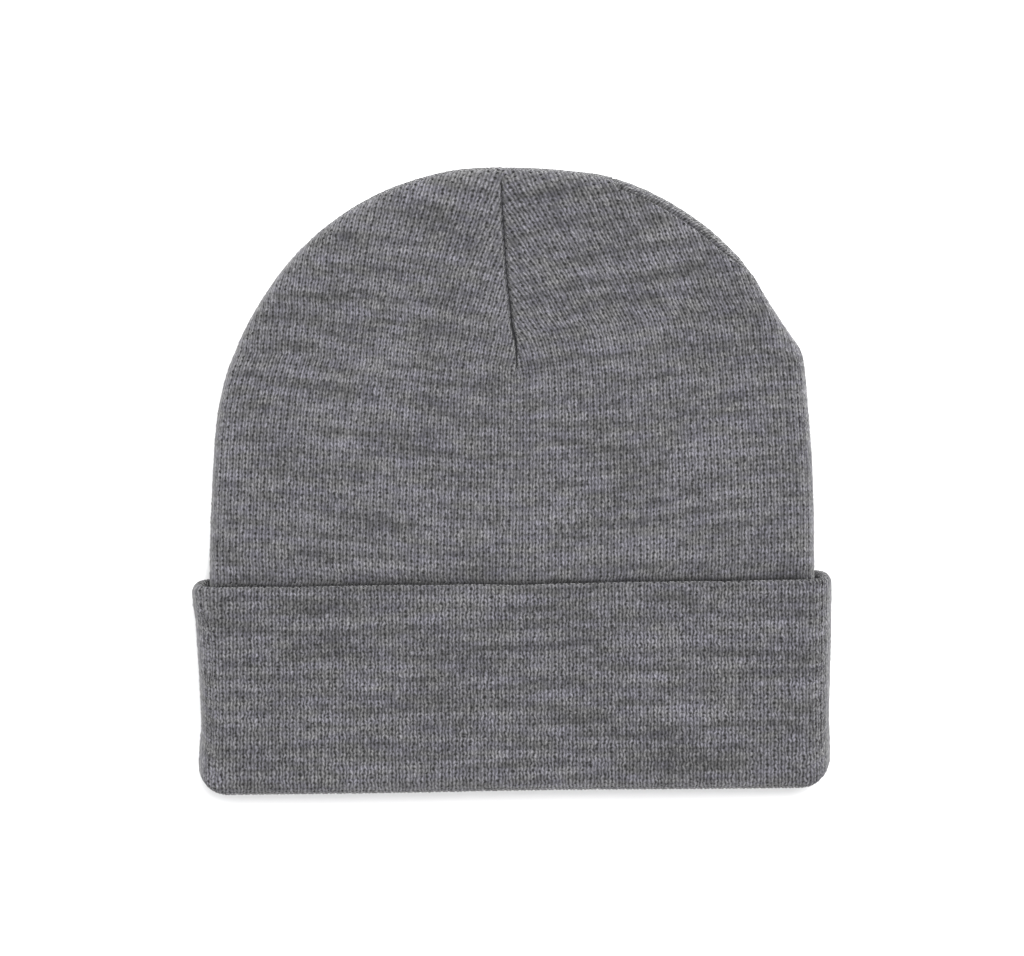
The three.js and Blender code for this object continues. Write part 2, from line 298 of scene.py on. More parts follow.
bodyLook = {
    "wales": 204,
    # how fine each field of noise is, across the wales and along them
    "streak": (0.095, 0.46),
    "fleck": (0.6, 1.2),
    "fibre": (2.6, 1.7),
    "tint": (0.22, 0.45),
    "slack": (1.0, 0.35),
    "waleStray": (0.95, 0.7),
    "courseStray": (0.8, 0.8),
    "wobble": 0.42,
    "arch": (0.34, 0.76),  # a leg is stronger halfway up its stitch
    "legPlace": 0.245,
    "legLean": 0.18,
    "legWidth": 0.123,
    "dotWidth": 0.15,
    "dotHeight": 0.25,
    "dotChance": 1.6,
    "jitter": 0.26,
    "legChance": 0.85,
    "valleyWidth": 0.10,
    "grooveWidth": 0.09,
    "grooveChance": 2.4,
    "grooveRun": 0.7,  # one groove stays the same over this share of a course
    "bowBump": 0.35,
    "dotBump": 0.9,
    "grooveBump": 0.4,
    "foldFlat": 0.75,  # how much flatter and plainer the knit is along the side folds
    "foldPlain": 0.65,
    "fibreBump": 0.5,
    "bump": 0.8,
    "bumpDepth": 0.4,
    "streakTone": 1.98,
    "fleckTone": 0.7,
    "cellTone": 0.42,
    "dark": (0.0583, 0.0578, 0.0618),
    "light": (0.141, 0.1392, 0.147),
    "olive": (1.0, 1.0, 0.96),
    "lilac": (0.99, 0.98, 1.072),
    "baseTone": 0.596,
    # painted highlight on the legs, painted shade in the dots, valleys and grooves
    "legHighlight": 0.66,
    "dotShade": 1.16,
    "valleyShade": 0.12,
    "grooveShade": 0.24,
    "fibreTone": 0.7,
    # painted sheen highlight along the side folds
    "foldHighlight": 0.17,
    "leastTone": 0.08,
    "tintSpread": 2.6,
    "streakTint": 0.8,
    "roughness": (-0.08, 0.98),
    "sheen": 0.3,
    "sheenRoughness": 0.5,
    "gloss": 0.2,
}
cuffLook = {
    **bodyLook,
    "wales": 192,
    "streak": (0.07, 0.44),
    "fibre": (3.2, 1.2),
    "wobble": 0.6,
    "legWidth": 0.12,
    "dotChance": 1.6,
    "jitter": 0.3,
    "legChance": 0.6,
    "grooveWidth": 0.10,
    "streakTone": 2.15,
    "fleckTone": 0.6,
    "cellTone": 0.4,
    "dark": (0.0527, 0.0522, 0.0557),
    "light": (0.1305, 0.1289, 0.136),
    "baseTone": 0.598,
    # painted highlight on the legs, painted shade in the dots, valleys and grooves
    "legHighlight": 0.74,
    "dotShade": 1.05,
    "valleyShade": 0.14,
    "grooveShade": 0.32,
    "fibreTone": 0.8,
}
crownKnit = knitFinish("crown_knit", bodyLook)
cuffKnit = knitFinish("cuff_knit", cuffLook)
print("knit finishes ready")

halfWidth = 112.4

# the cuff's rim in front and behind: its middle height, and its rise to the right
rim = {
    "front": (-35.6, 1.5),
    "back": (-32.45, 1.75),
    "dip": 0.5,
    "dipPlace": 4,
    "dipWidth": 12,
    "wave": 0.13,
    "waveWidths": (5.3, 17),
    "shade": ((0.5, 0.95), (0.45, 3.0)),  # painted shadow of the rim on the crown above it: its darkness, and how far up each part reaches
}
# the mouth fold's lowest line, its rise to the right, and a slight hump in it
mouth = {"middle": -108.5, "rise": 1.4, "hump": 0.45, "humpPlace": 15, "humpWidth": 45}

crown = {
    "thickness": 3.6,
    "halfHeight": 8.4,
    "foldReach": 7.5,  # how far the rounding of the side folds reaches in
    "foldPower": 2.2,
    "swell": 2.0,
    "swellReach": 75,
    "lift": 4.0,  # the part inside the cuff lies on the cuff's back layer
    "droop": (-31.3, 2.7),
    # the hidden lower edge, which follows the mouth fold inside the cuff
    "hem": {
        "left": 105.9,
        "right": 106.2,
        "aboveMouth": 5.4,
        "corner": 8,
        "cornerRise": 1.3,
        "rows": (-103.8, -60),
    },
    "pinch": 0.9,
    "pinchReach": 12,
    "course": 1.63,
    "wales": {"frontRight": 50, "backRight": 52, "frontLeft": 52, "backLeft": 50},
    "ribbedBack": 14,  # wales of the back that have ribs, beside each side seam
    # knit that turns down round the top: how far in and from which height it is drawn so
    "wall": {
        "reach": 1.2,
        "start": 90,
        "strip": (4.5, 72),  # the same two for the strip that shows beyond the right seam
        "lowest": 2,
        "wale": 2.29,
        "slant": 0.35,
        "flat": (0.4, 0.8, 2),  # how much flatter the stitches are, and how far in that fades
        "flatRows": (86, 94),
    },
    # the side folds: where the knit gets plainer, and up to which height on each side
    "sideFold": {"band": (0.6, 2.9), "flat": 0.7, "top": {1: 62, -1: 84}, "fade": 14},
    "shownRows": (-45, -40),  # the stitches come in over these, under the rim
    "noise": 0.08,
    "rails": (0.4, 0.85),  # two rows of points beside each seam keep its ditch smooth
    "railShares": (0.14, 0.3),  # the most that they take of a short row
    "railMargin": 0.15,
    "sideDartEnd": 46,
    "fan": 65,
    "fade": 8,
    "dartStart": 38,
    "dartFull": 62,
    "frontDart": (2.6, 13),  # how deep the dart draws the dome in, and how far beside it
    "backDart": (2.3, 11),
    # how far in front of the edge the side seams lie; the right one comes round near the top
    "sideSeams": {
        "left": -1.6,
        "right": -1.0,
        "shift": 4.0,
        "rise": (68, 84),
        "fall": (108, 115),
        "mostShare": 0.35,
    },
}
topPoint = (-3.6, 110.85)
outlineRows = [
    (-103, -105.9, 106.2),
    (-72, -106.1, 106.2),
    (-42, -106.4, 106.2),
    (-28, -106.5, 106.1),
    (-12, -106.2, 106.1),
    (6, -105.4, 105.6),
    (24, -103.9, 104.3),
    (38, -100.8, 103.1),
    (43.5, -98.8, 102.4),
    (46.8, -97.3, 101.4),
    (50.7, -95.8, 98.7),
    (63, -89.1, 90.5),
    (77, -79.2, 81.7),
    (88, -68.2, 70.8),
    (97, -55.7, 58.3),
    (103.5, -42.9, 45.9),
    (107.9, -29.6, 32.7),
    (109.9, -20.2, 17.0),
    (110.65, -12.5, 5.6),
    (topPoint[1], topPoint[0], topPoint[0]),
]
seamRows = [(-110, 0), (-40, 0.9), (20, 1.5), (42, 1.5), (46.5, 1.35), (50.5, 1.0), (53, 0.3)]
seamRows += [(56, -0.3), (61, -0.7), (71, -1.9), (87.6, -3.0), (94, -3.4), (105, -3.9), topPoint[::-1]]
# how steeply the wales run into the front seam, on its left and on its right
leanRows = [
    (36, 0.0, 0.0),
    (41, 0.2, 0.2),
    (55, 0.44, 0.46),
    (69, 0.46, 0.56),
    (83, 0.46, 0.58),
    (97, 0.44, 0.56),
    (111, 0.40, 0.50),
]
outline = {
    "left": smoothLine([(left, up) for up, left, right in outlineRows], 10),
    "right": smoothLine([(right, up) for up, left, right in outlineRows], 10),
}
seamLine = smoothLine(seamRows, 10)
leanTable = np.array(leanRows)
leanHeights = np.linspace(leanTable[0, 0], 112, 300)
leanSums = {}
for side, key in ((-1, 1), (1, 2)):
    slopes = np.interp(leanHeights, leanTable[:, 0], leanTable[:, key])
    leanSums[side] = np.concatenate([[0], np.cumsum(slopes[1:] * np.diff(leanHeights))])


def seamAcross(y):
    return np.interp(y, seamLine[:, 0], seamLine[:, 1])


def insetOutline(side, inset):
    line = outline[side]
    along = np.gradient(line, axis=0)
    along = along / np.linalg.norm(along, axis=1, keepdims=True)
    inward = np.stack([along[:, 1], -along[:, 0]], axis=1) * (inset if side == "left" else -inset)
    return line + inward


wholeOutline = np.vstack([outline["left"], outline["right"][-2::-1]])
outlineRun = np.diff(wholeOutline, axis=0)
outlineAlong = arcLength(wholeOutline)


def edgePlace(x, y):
    # how far inside the outline each point is, and how far along the outline
    toPoint = np.stack([x, y], axis=-1)[:, None, :] - wholeOutline[None, :-1]
    share = np.clip((toPoint * outlineRun).sum(-1) / (outlineRun**2).sum(-1), 0, 1)
    gap = np.linalg.norm(toPoint - share[..., None] * outlineRun, axis=-1)
    near = gap.argmin(axis=1)
    each = np.arange(len(near))
    ahead = outlineAlong[near] + share[each, near] * np.diff(outlineAlong)[near]
    return gap[each, near], ahead


def edgeDistance(x, y):
    return edgePlace(x, y)[0]


def foldRound(distance, reach, power=crown["foldPower"]):
    share = np.clip(distance / reach, 0, 1)
    return (1 - (1 - share) ** power) ** (1 / power)


def cornerRise(radius, distance):
    inside = np.clip(radius - distance, 0, radius)
    return radius - np.sqrt(radius**2 - inside**2)


def mouthHeight(x):
    slope = mouth["middle"] + mouth["rise"] * x / halfWidth
    return slope + mouth["hump"] * ridge(x - mouth["humpPlace"], mouth["humpWidth"])


def rimHeight(x, backShare):
    (front, frontRise), (back, backRise) = rim["front"], rim["back"]
    height = front + (back - front) * backShare
    height = height + (frontRise + (backRise - frontRise) * backShare) * x / halfWidth
    short, long = rim["waveWidths"]
    height = height + rim["wave"] * np.sin(x / short) * np.sin(x / long)
    return height - rim["dip"] * (1 - backShare) * ridge(x - rim["dipPlace"], rim["dipWidth"])


# courses sag in a shallow V to the middle, and more beside the dart
sag = {"body": 3.5, "reach": 105, "rows": (-75, -46), "dart": 6.0, "dartReach": 18, "dartRows": (18, 78)}


def courseDip(x, height):
    across = np.abs(x - seamAcross(np.minimum(height, topPoint[1])))
    body = sag["body"] * (1 + np.cos(np.pi * np.clip(across / sag["reach"], 0, 1)))
    beside = sag["dart"] * np.exp(-across / sag["dartReach"]) * easeStep(height, *sag["dartRows"])
    return (body + beside) * easeStep(height, *sag["rows"])


def rowHeight(height, x):
    y = height - courseDip(x, height)
    hem = crown["hem"]
    edge = np.where(x > 0, hem["right"], hem["left"]) - np.abs(x)
    corner = hem["cornerRise"] * cornerRise(hem["corner"], np.maximum(edge, 0))
    lowest = mouthHeight(x) + hem["aboveMouth"] + corner
    return lowest + (y - lowest) * easeStep(height, *hem["rows"])


def surfaceHeight(x, y, front, inset):
    distance = np.maximum(edgeDistance(x, y) - inset, 0)
    rounded = foldRound(distance, crown["foldReach"] - inset / 2)
    base = crown["lift"] * (1 - easeStep(y, *crown["droop"]))
    half = (crown["halfHeight"] - inset) * rounded
    narrow = easeStep(distance, 0, crown["fade"])
    across = np.abs(x - seamAcross(y))
    sunk = easeStep(y, crown["dartStart"], crown["dartFull"])
    if front:
        swell = crown["swell"] * easeStep(distance, 0, crown["swellReach"])
        past = y - rim["front"][0]
        share = np.clip(np.abs(past) / crown["pinchReach"], 0, 1)
        pinch = np.where(past > 0, crown["pinch"] * np.cos(np.pi / 2 * share) ** 2, 0)
        depth, reach = crown["frontDart"]
        dart = depth * sunk * np.maximum(0, 1 - across / reach) ** 2
        return base + crown["halfHeight"] + half + swell - narrow * (dart + pinch)
    depth, reach = crown["backDart"]
    dart = depth * sunk * np.maximum(0, 1 - across / reach) ** 2
    return base + crown["halfHeight"] - half + narrow * dart


def rowEnd(side, height, inset):
    line = insetOutline(side, inset)
    rise = line[:, 1] - rowHeight(height, line[:, 0])
    return np.interp(0, rise, line[:, 0])


def crowded(start, end, count):
    return start + (end - start) * (1 - np.cos(np.linspace(0, np.pi, count))) / 2


def facePoints(xs, height, front, inset=0.0):
    y = rowHeight(height, xs)
    z = surfaceHeight(xs, y, front, inset)
    return np.stack([xs, y, z], axis=1)


def seamPlace(height):
    x = topPoint[0]
    for _ in range(6):
        x = float(seamAcross(rowHeight(height, np.array([x]))[0]))
    return x


def seamInset(side, height):
    seams = crown["sideSeams"]
    if side == "left":
        return seams["left"]
    risen = easeStep(height, *seams["rise"]) * (1 - easeStep(height, *seams["fall"]))
    return seams["right"] + seams["shift"] * float(risen)


def quarterLine(name, height):
    # surface points of one row, from its front or back seam to its side seam
    middle = seamPlace(height)
    side = "right" if name.endswith("Right") else "left"
    inset = seamInset(side, height)
    edge = rowEnd(side, height, 0.0)
    share = (edge - rowEnd(side, height, abs(inset))) / (edge - middle)
    seam = edge + (middle - edge) * min(share, crown["sideSeams"]["mostShare"])
    front = name.startswith("front")
    longCount, turnCount = 150, 24
    if front == (inset > 0):
        return facePoints(crowded(middle, seam, longCount), height, front)
    long = facePoints(crowded(middle, edge, longCount), height, front)
    steps = np.linspace(0, 1, turnCount)[1:] ** 2
    around = facePoints(edge + (seam - edge) * steps, height, not front)
    return np.vstack([long, around])


quarters = {
    "frontRight": {"side": 1, "start": "front", "end": "right", "flip": False},
    "frontLeft": {"side": -1, "start": "front", "end": "left", "flip": True},
    "backRight": {"side": 1, "start": "back", "end": "right", "flip": True},
    "backLeft": {"side": -1, "start": "back", "end": "left", "flip": False},
}
topHeight = topPoint[1] + float(courseDip(np.array([topPoint[0]]), 112)[0])
rowHeights = [-103.8, -98, -90, -80, -70, -60, -52, -46]  # hidden in the cuff
rowHeights += list(np.arange(-41, 106, crown["course"] / 2))
rowHeights += list(np.arange(106.3, topHeight - 0.3, 0.3))  # finer where the wales end at the top


# the relief of the stitches: legs, the valley between two wales, and both at a course
stitch = {"leg": 0.17, "legAtCourse": 0.35, "valley": 0.20, "valleyAtCourse": 0.26, "lift": 0.03}


def stitchRelief(u, v):
    # height of the knit over its surface, in millimetres
    acrossWave = np.cos(2 * np.pi * u)  # 1 in the valley between two wales, -1 in a wale's middle
    legWave = -np.cos(4 * np.pi * u)  # 1 on the legs
    atCourse = 0.5 + 0.5 * np.cos(2 * np.pi * v)
    valley = np.maximum(acrossWave, 0) * (stitch["valley"] + stitch["valleyAtCourse"] * atCourse)
    leg = stitch["leg"] * legWave * (1 - stitch["legAtCourse"] * atCourse)
    return leg - valley + stitch["lift"]


def fanned(distance):
    return distance + distance**2 / (2 * crown["fan"])


def unfanned(value):
    return crown["fan"] * (np.sqrt(1 + 2 * np.maximum(value, 0) / crown["fan"]) - 1)


# a dart seam is a ditch with painted shade at its bottom; a pair (place, width) is where along y it
# counts most
dartSeam = {
    "ends": {"front": 38.5, "back": 48, "right": 50, "left": 44},
    "onset": (-2, 5),
    "depth": 1.7,
    "width": 0.7,
    "rightDepth": (0.5, 0.4),  # the right one is shallow, most of all where it comes round the edge
    "rightTurn": (70, 12),
    "plain": 0.6,  # how close to it the stitches fade
    # painted shade in the ditch: how much everywhere, and how much more about the height below
    "dark": (0.5, 0.38),
    "darkest": (49, 10),
    "rightDark": 0.65,
    "mostDark": 0.88,
    "calm": (0.9, 8.5),  # how much it fades close to the top, and how close
    "pucker": (0.4, 1.3),
    "puckerPlace": (38, 2.6),
    "lip": (0.35, 1.7, 0.8),  # a smooth lip on the left of the front seam
    "strip": (0.32, 6),  # the strip of the back that shows beyond the right seam, where it turns round the edge, gets painted shade
    "stripRows": (70, 80),
}


def about(y, placeAndWidth):
    place, width = placeAndWidth
    return ridge(y - place, width)


def dartStrength(seam, y):
    start = dartSeam["ends"][seam]
    return easeStep(y, *(start + shift for shift in dartSeam["onset"]))


def ditch(seam, distance, y):
    depth = -dartSeam["depth"] * ridge(distance, dartSeam["width"])
    if seam != "right":
        return depth
    full, less = dartSeam["rightDepth"]
    return depth * (full - less * about(y, dartSeam["rightTurn"]))


def rimShade(x, y, front):
    # painted shade: the knit is drawn darker where the cuff's rim touches it, as a contact shadow
    above = np.maximum(y - rimHeight(x, 0 if front else 1), 0)
    return sum(amount * ridge(above, reach) for amount, reach in rim["shade"])


uneven = np.random.default_rng(11)
points, faces, cornerUvs = [], [], []
push, shade, smooth = [], [], []


def addPoints(places, pushes=0.0, shades=0.0, folds=0.0):
    first = len(points)
    points.extend(places)
    for store, values in ((push, pushes), (shade, shades), (smooth, folds)):
        store.extend(np.broadcast_to(values, len(places)))
    return list(range(first, len(points)))


def addFace(corners, uvs, flip=False):
    if flip:
        corners, uvs = corners[::-1], uvs[::-1]
    faces.append(corners)
    cornerUvs.extend(uvs)


def layRow(name, height):
    # one row of a quarter: the wales that are left at this height, and the rails at both ends
    quarter = quarters[name]
    wales = crown["wales"][name]
    if name.startswith("front"):
        u = np.arange(wales * 4 + 1) / 4
    else:
        plain = wales - crown["ribbedBack"]
        u = np.concatenate([np.arange(0, plain, 2.0), np.arange(plain, wales + 0.1, 0.5)])
    line = quarterLine(name, height)
    along = arcLength(line)
    span = along[-1]
    pitch = span / wales if height < crown["sideDartEnd"] else quarter["pitch"]
    middleUp = rowHeight(height, np.array([seamPlace(height)]))[0]
    taken = np.interp(middleUp, leanHeights, leanSums[quarter["side"]])
    s = unfanned(fanned(u * pitch) - taken)
    near, far = (min(rail, share * span) for rail, share in zip(crown["rails"], crown["railShares"]))
    margin = far + crown["railMargin"] * pitch * (u[-1] - u[-2])
    columns = np.flatnonzero((fanned(u * pitch) > taken) & (s > margin) & (s < span - margin))
    s = np.concatenate([[0, near, far], s[columns], [span - far, span - near, span]])
    waleHere = unfanned(fanned(s) + taken) / pitch
    return {"columns": columns, "s": s, "span": span, "u": waleHere, "points": pick(line, along, s)}


def dressRow(name, row, height):
    # how far each point stands over the surface, how much painted shade it gets and how smooth
    quarter = quarters[name]
    x, y = row["points"][:, 0], row["points"][:, 1]
    shown = float(easeStep(height, *crown["shownRows"]))
    fading, close = dartSeam["calm"]
    calm = 1 - fading * ridge(np.hypot(x - topPoint[0], y - topPoint[1]), close)
    distance = edgeDistance(x, y)
    sideFold, wall = crown["sideFold"], crown["wall"]
    foldTop = sideFold["top"][quarter["side"]]
    fold = 1 - easeStep(distance, *sideFold["band"])
    fold = fold * (1 - easeStep(y, foldTop, foldTop + sideFold["fade"])) * shown
    relief = stitchRelief(row["u"], height / crown["course"]) * shown * (1 - sideFold["flat"] * fold)
    relief = relief + crown["noise"] * shown * uneven.standard_normal(len(x))
    flatter, *fade = wall["flat"]
    relief = relief * (1 - flatter * (1 - easeStep(distance, *fade)) * easeStep(y, *wall["flatRows"]))
    if name.startswith("back"):
        plain = crown["wales"][name] - crown["ribbedBack"]
        relief = relief * easeStep(row["u"], plain - 1, plain)
    # dark gathers painted shade: the rim's contact shadow, the shade in each seam's ditch and on the
    # strip beyond the right seam
    depth, dark = 0, rimShade(x, y, name.startswith("front"))
    for seam, gap in ((quarter["start"], row["s"]), (quarter["end"], row["span"] - row["s"])):
        strength = dartStrength(seam, y)
        atSeam = ridge(gap, dartSeam["plain"]) * strength
        relief = relief * (1 - atSeam)
        depth = depth + ditch(seam, gap, y) * strength * calm
        everywhere, more = dartSeam["dark"]
        deep = everywhere + more * about(y, dartSeam["darkest"])
        deep = deep * (dartSeam["rightDark"] if seam == "right" else 1)
        dark = dark + deep * atSeam * calm
        if seam == "front":
            pucker, reach = dartSeam["pucker"]
            depth = depth - pucker * ridge(gap, reach) * about(y, dartSeam["puckerPlace"])
        if seam == "front" and quarter["side"] < 0:
            lift, *beside = dartSeam["lip"]
            depth = depth + lift * about(gap, beside) * strength
    # painted shade on the strip that turns round the edge beyond the right seam
    if name == "backRight":
        darker, reach = dartSeam["strip"]
        dark = dark + darker * easeStep(y, *dartSeam["stripRows"]) * ridge(row["span"] - row["s"], reach)
    return relief + depth, np.minimum(dark, dartSeam["mostDark"]), fold


grids = {}
for name, quarter in quarters.items():
    quarter["pitch"] = arcLength(quarterLine(name, crown["sideDartEnd"]))[-1] / crown["wales"][name]
    grids[name] = [layRow(name, height) for height in rowHeights]
print("crown rows laid out:", len(rowHeights))

# one chain of points down each seam, shared by the two quarters beside it
seamIndex = {}
for seam, owner, end in (
    ("front", "frontRight", 0),
    ("back", "backRight", 0),
    ("right", "frontRight", -1),
    ("left", "backLeft", -1),
):
    seamIndex[seam] = []
    for height, row in zip(rowHeights, grids[owner]):
        pushes, darks, folds = dressRow(owner, row, height)
        place = row["points"][end]
        seamIndex[seam] += addPoints([place], pushes[end], darks[end], folds[end])
topIndex = addPoints([np.array([topPoint[0], topPoint[1], crown["halfHeight"]])])[0]

globalU = {
    "frontRight": lambda u: u,
    "frontLeft": lambda u: -u,
    "backRight": lambda u: bodyLook["wales"] / 2 - u,
    "backLeft": lambda u: u - bodyLook["wales"] / 2,
}


def wallUvs(name, rowPoints):
    # round the top, wales run down the wall instead of along it
    wall = crown["wall"]
    reach, start = wall["strip"] if name == "backRight" else (wall["reach"], wall["start"])
    gap, ahead = edgePlace(rowPoints[:, 0], rowPoints[:, 1])
    onWall = (gap < reach) & (rowPoints[:, 1] > start) & (rowPoints[:, 2] > wall["lowest"])
    v = rowPoints[:, 2] / crown["course"]
    uvs = zip(ahead / wall["wale"] + wall["slant"] * v, v)
    return [uv if here else None for uv, here in zip(uvs, onWall)]


for name, quarter in quarters.items():
    chains = []
    for r, (height, row) in enumerate(zip(rowHeights, grids[name])):
        pushes, darks, folds = (values[1:-1] for values in dressRow(name, row, height))
        inner = addPoints(row["points"][1:-1], pushes, darks, folds)
        index = [seamIndex[quarter["start"]][r], *inner, seamIndex[quarter["end"]][r]]
        v = height / crown["course"]
        rowUvs = [(globalU[name](u), v) for u in row["u"]]
        chains.append(list(zip(index, rowUvs, wallUvs(name, row["points"]))))
    quarter["first"] = [corner[0] for corner in chains[0]]

    def face(*corners, turned=False):
        corners = corners[::-1] if turned else corners
        layer = 2 if all(corner[2] for corner in corners) else 1
        addFace([corner[0] for corner in corners], [corner[layer] for corner in corners], quarter["flip"])

    def closeSide(low, high, turned):
        # wales that end at the seam between two rows close in a fan
        if len(low) == len(high):
            face(low[0], low[1], high[1], high[0], turned=turned)
        elif len(high) == 2:
            face(low[0], high[1], high[0], turned=turned)
            for a, b in zip(low, low[1:]):
                face(a, b, high[1], turned=turned)
        else:
            face(low[0], low[1], high[0], turned=turned)
            for a, b in zip(high, high[1:]):
                face(low[1], b, a, turned=turned)

    for r in range(len(chains) - 1):
        lower, upper = chains[r], chains[r + 1]
        for i in (0, 1):
            face(lower[i], lower[i + 1], upper[i + 1], upper[i])
            face(lower[-2 - i], lower[-1 - i], upper[-1 - i], upper[-2 - i])
        low, high = grids[name][r]["columns"], grids[name][r + 1]["columns"]
        if not len(high):
            chain = lower[2:-2]
            half = len(chain) // 2
            for i in range(half):
                face(chain[i], chain[i + 1], upper[2])
            face(chain[half], upper[-3], upper[2])
            for i in range(half, len(chain) - 1):
                face(chain[i], chain[i + 1], upper[-3])
            continue
        first, last = max(low[0], high[0]), min(low[-1], high[-1])
        a, b = 3 - low[0], 3 - high[0]
        closeSide(lower[2 : a + first + 1][::-1], upper[2 : b + first + 1][::-1], True)
        closeSide(lower[a + last : -2], upper[b + last : -2], False)
        for c in range(first, last):
            face(lower[a + c], lower[a + c + 1], upper[b + c + 1], upper[b + c])
    chain = chains[-1]
    peakUv = (chain[len(chain) // 2][1][0], topHeight / crown["course"])
    peak = (topIndex, peakUv, wallUvs(name, points[topIndex][None])[0])
    for here, there in zip(chain, chain[1:]):
        face(here, there, peak)

# inside of the crown, a plainer skin that closes on the outside's lower edge
lining = {"columns": 96, "crowd": 80, "topGap": 4.6, "bandCourses": 2}
lining["heights"] = [-103.8, -97, -88, -78, -66, -52, -38, -24, -12]
lining["heights"] += [0, 10, 20, 30, 40, 50, 60, 68, 76, 83, 89, 94, 98, 101, 103.5, 105.2]


def insideRing(height):
    deep, crowd = crown["thickness"], lining["crowd"]
    left, right = (rowEnd(side, height, deep) for side in ("left", "right"))
    middle = 0.5 * (left + right)
    front = facePoints(crowded(middle, right, crowd), height, True, deep)
    back = facePoints(crowded(right, left, 2 * crowd), height, False, deep)
    last = facePoints(crowded(left, middle, crowd), height, True, deep)
    line = np.vstack([front, back[1:], last[1:]])
    along = arcLength(line)
    return pick(line, along, along[-1] * np.arange(lining["columns"]) / lining["columns"])


insideRows = []
for height in lining["heights"]:
    insideRows.append(addPoints(insideRing(height)))
insidePlace = np.array([topPoint[0], topPoint[1] - lining["topGap"], crown["halfHeight"]])
insideTop = addPoints([insidePlace])[0]
count = lining["columns"]
perColumn = bodyLook["wales"] / count
for r in range(len(insideRows) - 1):
    for c in range(count):
        around = (c, c + 1, c + 1, c)
        rowsOf = (insideRows[r + 1], insideRows[r + 1], insideRows[r], insideRows[r])
        corners = [ring[i % count] for ring, i in zip(rowsOf, around)]
        heights = [lining["heights"][r + 1]] * 2 + [lining["heights"][r]] * 2
        addFace(corners, [(i * perColumn, h / crown["course"]) for i, h in zip(around, heights)])
lastHeight = lining["heights"][-1] / crown["course"]
for c in range(count):
    corners = [insideTop, insideRows[-1][(c + 1) % count], insideRows[-1][c]]
    uvs = [((c + 0.5) * perColumn, lastHeight + 1)]
    uvs += [((c + 1) * perColumn, lastHeight), (c * perColumn, lastHeight)]
    addFace(corners, uvs)

# band between the two skins at the hidden lower edge
outerRing = []
for name, order in (("frontRight", 1), ("backRight", -1), ("backLeft", 1), ("frontLeft", -1)):
    outerRing += quarters[name]["first"][::order][:-1]
innerRing = insideRows[0]
outerShare, innerShare = (
    arcLength(np.array([points[i] for i in ring + ring[:1]])) for ring in (outerRing, innerRing)
)
outerShare, innerShare = outerShare / outerShare[-1], innerShare / innerShare[-1]
bandTop = lining["heights"][0] / crown["course"]
bandEnd = bandTop - lining["bandCourses"]
bandWales = bodyLook["wales"]
j = 0
for i, here in enumerate(outerRing):
    there = outerRing[(i + 1) % len(outerRing)]
    uvs = [(outerShare[i + 1] * bandWales, bandTop), (outerShare[i] * bandWales, bandTop)]
    uvs.append((innerShare[j] * bandWales, bandEnd))
    addFace([there, here, innerRing[j % count]], uvs)
    while j < count and innerShare[j + 1] < outerShare[i + 1] + 1e-6:
        corners = [there, innerRing[j % count], innerRing[(j + 1) % count]]
        uvs = [(outerShare[i + 1] * bandWales, bandTop)]
        uvs += [(innerShare[k] * bandWales, bandEnd) for k in (j, j + 1)]
        addFace(corners, uvs)
        j += 1

places = np.array(points)
normals = pointNormals(places, faces)
places = places + normals * np.array(push)[:, None]
layers = {"paintedShade": shade, "fold": smooth}
crownPiece = makePiece("crown_body", places, faces, cornerUvs, layers, crownKnit, "crown")

cuff = {
    "thickness": 3.6,
    "gap": 0.4,
    "course": 1.53,
    "wales": 192,
    "columnsPerWale": 4,
    # side edges from the mouth to the rim, as shares of that height
    "edges": [
        (0.0, -110.4, 111.6),
        (0.11, -110.1, 111.6),
        (0.22, -109.4, 111.2),
        (0.45, -110.0, 111.6),
        (0.68, -110.9, 112.0),
        (0.85, -111.6, 112.1),
        (0.92, -112.4, 112.2),
        (1.0, -112.8, 112.2),
    ],
    "flat": 98,  # the part between the side folds reaches this far from the middle
    "mouthCorner": 7.2,
    "foldShown": 0.55,  # how much of the stitches' relief is left on the mouth fold
    "foldTurn": (1.5, 3.1),  # the angles round it over which the rest comes back
    "rimCorner": 1.2,
    "foldBand": (0.9, 3.4),  # the knit is plainer this close to the side edges
    "foldFlat": 0.75,
    "mouthLine": -108.3,  # the courses of the face are counted from here
    # the inside, from the rim back down to the mouth
    "hiddenUp": 5.0,
    "hiddenShares": (0.8, 0.6, 0.4, 0.2),
    "hiddenCourses": (45, 48),
    # painted shade on the rows whose relief is less shown
    "hiddenShade": 0.5,
}
foldRadius = (cuff["thickness"] + cuff["gap"] + crown["thickness"]) / 2
rimRadius = cuff["thickness"] / 2
cuffOutside = cuff["thickness"] + cuff["gap"]


